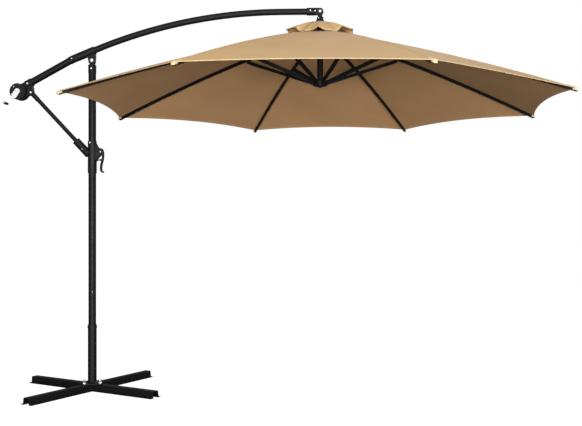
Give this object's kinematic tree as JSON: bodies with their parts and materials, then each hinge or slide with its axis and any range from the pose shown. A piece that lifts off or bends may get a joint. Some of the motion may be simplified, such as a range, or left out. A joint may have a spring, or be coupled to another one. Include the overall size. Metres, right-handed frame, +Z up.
{
  "type": "cantilever parasol",
  "caption": "Cantilever parasol with a cross base, an offset post, a curved tilting arm with crank, and an octagonal fabric canopy on folding ribs with a vent cap.",
  "frame": {"origin": "foot of the post on the ground, at the middle of the cross base", "axes": "+X from the post to the canopy's mast, +Z up, -Y the side that the crank and the bolt heads face"},
  "size_m": [3.2822, 2.777, 2.3041],
  "materials": {
    "frame_black": "satin black powder coat",
    "tube_black": "satin black powder coat on aluminium tube",
    "cast_black": "semi-gloss black cast aluminium",
    "black_plastic": "fine-grained black moulded nylon",
    "bright_metal": "bright plated steel",
    "grey_plastic": "grey moulded plastic",
    "canopy_fabric": "tan woven polyester"
  },
  "bodies": {
    "stand": {"cross_rail_lower": "frame_black", "cross_rail_upper": "frame_black", "stand_tube": "frame_black", "base_fasteners": "bright_metal", "stand_bushing": "black_plastic", "post_button": "grey_plastic", "post_tube": "frame_black", "post_cap": "cast_black", "post_cap_bolts": "bright_metal", "arm_pivot_bolt": "bright_metal"},
    "slider": {"slider_front_shell": "black_plastic", "slider_rear_shell": "black_plastic", "slider_screws": "bright_metal", "strut_lower_pin": "frame_black", "lever_pin": "bright_metal"},
    "lever": {"lock_lever": "black_plastic"},
    "plunger": {"lock_plunger": "black_plastic"},
    "strut": {"strut_tube": "tube_black", "strut_fittings": "black_plastic"},
    "arm": {"arm_bracket": "cast_black", "arm_lower_tube": "tube_black", "arm_upper_tube": "tube_black", "arm_joint_sleeve": "cast_black", "arm_screws": "bright_metal", "arm_tip_bracket": "cast_black", "arm_tip_screws": "bright_metal", "arm_tip_pin": "bright_metal", "crank_housing_front": "black_plastic", "crank_housing_rear": "black_plastic", "housing_screws": "bright_metal", "strut_upper_pin": "bright_metal"},
    "crank": {"crank_axle": "bright_metal", "cord_drum": "black_plastic", "crank_handle": "bright_metal"},
    "grip": {"crank_grip": "black_plastic"},
    "mast": {"canopy_hanger": "cast_black", "hanger_screws": "bright_metal", "mast_tube": "tube_black", "crown_hub": "black_plastic", "crown_pins": "bright_metal", "vent_cap": "canopy_fabric", "canopy_cover": "canopy_fabric"},
    "runner": {"runner_hub": "black_plastic", "runner_cap": "black_plastic"},
    "rib_body_1": {"rib_1": "tube_black"},
    "stretcher_body_1": {"stretcher_1": "tube_black"},
    "rib_body_2": {"rib_2": "tube_black"},
    "stretcher_body_2": {"stretcher_2": "tube_black"},
    "rib_body_3": {"rib_3": "tube_black"},
    "stretcher_body_3": {"stretcher_3": "tube_black"},
    "rib_body_4": {"rib_4": "tube_black"},
    "stretcher_body_4": {"stretcher_4": "tube_black"},
    "rib_body_5": {"rib_5": "tube_black"},
    "stretcher_body_5": {"stretcher_5": "tube_black"},
    "rib_body_6": {"rib_6": "tube_black"},
    "stretcher_body_6": {"stretcher_6": "tube_black"},
    "rib_body_7": {"rib_7": "tube_black"},
    "stretcher_body_7": {"stretcher_7": "tube_black"},
    "rib_body_8": {"rib_8": "tube_black"},
    "stretcher_body_8": {"stretcher_8": "tube_black"}
  },
  "joints": [
    {"name": "arm_tilt", "type": "hinge", "parent": "stand", "child": "arm", "pos_m": [0, 0, 1.997], "axis": [0, 1, 0], "range_deg": [-3, 10]},
    {"name": "slider_slide", "type": "slide", "parent": "stand", "child": "slider", "axis": [0, 0, 1], "range_m": [-0.0295, 0.0971]},
    {"name": "strut_swing", "type": "hinge", "parent": "arm", "child": "strut", "pos_m": [-0.37446, 0, 1.80473], "axis": [0, 1, 0], "range_deg": [-15.29, 4.66]},
    {"name": "canopy_hang", "type": "hinge", "parent": "arm", "child": "mast", "pos_m": [1.385, 0, 2.28111], "axis": [0, 1, 0], "range_deg": [-10.1, 3.1]},
    {"name": "canopy_fold", "type": "slide", "parent": "mast", "child": "runner", "axis": [0, 0, 1], "range_m": [-0.6551, 0], "deforming": ["canopy_cover", "vent_cap"]},
    {"name": "rib_hinge_1", "type": "hinge", "parent": "mast", "child": "rib_body_1", "pos_m": [1.40031, -0.03696, 2.15011], "axis": [0.9239, 0.3827, 0], "range_deg": [-0.2, 66.7]},
    {"name": "rib_hinge_2", "type": "hinge", "parent": "mast", "child": "rib_body_2", "pos_m": [1.42196, -0.01531, 2.15011], "axis": [0.3827, 0.9239, 0], "range_deg": [-0.2, 66.7]},
    {"name": "rib_hinge_3", "type": "hinge", "parent": "mast", "child": "rib_body_3", "pos_m": [1.42196, 0.01531, 2.15011], "axis": [-0.3827, 0.9239, 0], "range_deg": [-0.2, 66.7]},
    {"name": "rib_hinge_4", "type": "hinge", "parent": "mast", "child": "rib_body_4", "pos_m": [1.40031, 0.03696, 2.15011], "axis": [-0.9239, 0.3827, 0], "range_deg": [-0.2, 66.7]},
    {"name": "rib_hinge_5", "type": "hinge", "parent": "mast", "child": "rib_body_5", "pos_m": [1.36969, 0.03696, 2.15011], "axis": [-0.9239, -0.3827, 0], "range_deg": [-0.2, 66.7]},
    {"name": "rib_hinge_6", "type": "hinge", "parent": "mast", "child": "rib_body_6", "pos_m": [1.34804, 0.01531, 2.15011], "axis": [-0.3827, -0.9239, 0], "range_deg": [-0.2, 66.7]},
    {"name": "rib_hinge_7", "type": "hinge", "parent": "mast", "child": "rib_body_7", "pos_m": [1.34804, -0.01531, 2.15011], "axis": [0.3827, -0.9239, 0], "range_deg": [-0.2, 66.7]},
    {"name": "rib_hinge_8", "type": "hinge", "parent": "mast", "child": "rib_body_8", "pos_m": [1.36969, -0.03696, 2.15011], "axis": [0.9239, -0.3827, 0], "range_deg": [-0.2, 66.7]},
    {"name": "stretcher_hinge_1", "type": "hinge", "parent": "rib_body_1", "child": "stretcher_body_1", "pos_m": [1.57472, -0.45803, 2.01277], "axis": [0.9239, 0.3827, 0], "range_deg": [-130.31, 0.2]},
    {"name": "stretcher_hinge_2", "type": "hinge", "parent": "rib_body_2", "child": "stretcher_body_2", "pos_m": [1.84303, -0.18972, 2.01277], "axis": [0.3827, 0.9239, 0], "range_deg": [-130.31, 0.2]},
    {"name": "stretcher_hinge_3", "type": "hinge", "parent": "rib_body_3", "child": "stretcher_body_3", "pos_m": [1.84303, 0.18972, 2.01277], "axis": [-0.3827, 0.9239, 0], "range_deg": [-130.31, 0.2]},
    {"name": "stretcher_hinge_4", "type": "hinge", "parent": "rib_body_4", "child": "stretcher_body_4", "pos_m": [1.57472, 0.45803, 2.01277], "axis": [-0.9239, 0.3827, 0], "range_deg": [-130.31, 0.2]},
    {"name": "stretcher_hinge_5", "type": "hinge", "parent": "rib_body_5", "child": "stretcher_body_5", "pos_m": [1.19528, 0.45803, 2.01277], "axis": [-0.9239, -0.3827, 0], "range_deg": [-130.31, 0.2]},
    {"name": "stretcher_hinge_6", "type": "hinge", "parent": "rib_body_6", "child": "stretcher_body_6", "pos_m": [0.92697, 0.18972, 2.01277], "axis": [-0.3827, -0.9239, 0], "range_deg": [-130.31, 0.2]},
    {"name": "stretcher_hinge_7", "type": "hinge", "parent": "rib_body_7", "child": "stretcher_body_7", "pos_m": [0.92697, -0.18972, 2.01277], "axis": [0.3827, -0.9239, 0], "range_deg": [-130.31, 0.2]},
    {"name": "stretcher_hinge_8", "type": "hinge", "parent": "rib_body_8", "child": "stretcher_body_8", "pos_m": [1.19528, -0.45803, 2.01277], "axis": [0.9239, -0.3827, 0], "range_deg": [-130.31, 0.2]},
    {"name": "crank_spin", "type": "hinge", "parent": "arm", "child": "crank", "pos_m": [-0.44446, 0, 1.80814], "axis": [0, 1, 0], "range_deg": [-1878.7, 2]},
    {"name": "grip_spin", "type": "hinge", "parent": "crank", "child": "grip", "pos_m": [-0.50021, -0.08115, 1.72998], "axis": [0, 1, 0], "continuous": true},
    {"name": "lever_swing", "type": "hinge", "parent": "slider", "child": "lever", "pos_m": [0.054, 0, 1.442], "axis": [0, -1, 0], "range_deg": [0, 15], "stiffness_Nm_per_rad": 0.6, "springref_deg": -11.46},
    {"name": "plunger_slide", "type": "slide", "parent": "slider", "child": "plunger", "axis": [1, 0, 0], "range_m": [-0.0001, 0.0128]}
  ],
  "couplings": [
    {"joint": "slider_slide", "follows": "arm_tilt", "m_per_rad": 0.5532},
    {"joint": "strut_swing", "follows": "arm_tilt", "ratio": -1.5188},
    {"joint": "canopy_hang", "follows": "arm_tilt", "ratio": -1},
    {"joint": "rib_hinge_1", "follows": "canopy_fold", "rad_per_m": -1.7717},
    {"joint": "rib_hinge_2", "follows": "canopy_fold", "rad_per_m": -1.7717},
    {"joint": "rib_hinge_3", "follows": "canopy_fold", "rad_per_m": -1.7717},
    {"joint": "rib_hinge_4", "follows": "canopy_fold", "rad_per_m": -1.7717},
    {"joint": "rib_hinge_5", "follows": "canopy_fold", "rad_per_m": -1.7717},
    {"joint": "rib_hinge_6", "follows": "canopy_fold", "rad_per_m": -1.7717},
    {"joint": "rib_hinge_7", "follows": "canopy_fold", "rad_per_m": -1.7717},
    {"joint": "rib_hinge_8", "follows": "canopy_fold", "rad_per_m": -1.7717},
    {"joint": "stretcher_hinge_1", "follows": "canopy_fold", "rad_per_m": 3.4664},
    {"joint": "stretcher_hinge_2", "follows": "canopy_fold", "rad_per_m": 3.4664},
    {"joint": "stretcher_hinge_3", "follows": "canopy_fold", "rad_per_m": 3.4664},
    {"joint": "stretcher_hinge_4", "follows": "canopy_fold", "rad_per_m": 3.4664},
    {"joint": "stretcher_hinge_5", "follows": "canopy_fold", "rad_per_m": 3.4664},
    {"joint": "stretcher_hinge_6", "follows": "canopy_fold", "rad_per_m": 3.4664},
    {"joint": "stretcher_hinge_7", "follows": "canopy_fold", "rad_per_m": 3.4664},
    {"joint": "stretcher_hinge_8", "follows": "canopy_fold", "rad_per_m": 3.4664},
    {"joint": "crank_spin", "follows": "canopy_fold", "rad_per_m": 50},
    {"joint": "plunger_slide", "follows": "lever_swing", "m_per_rad": 0.048}
  ]
}
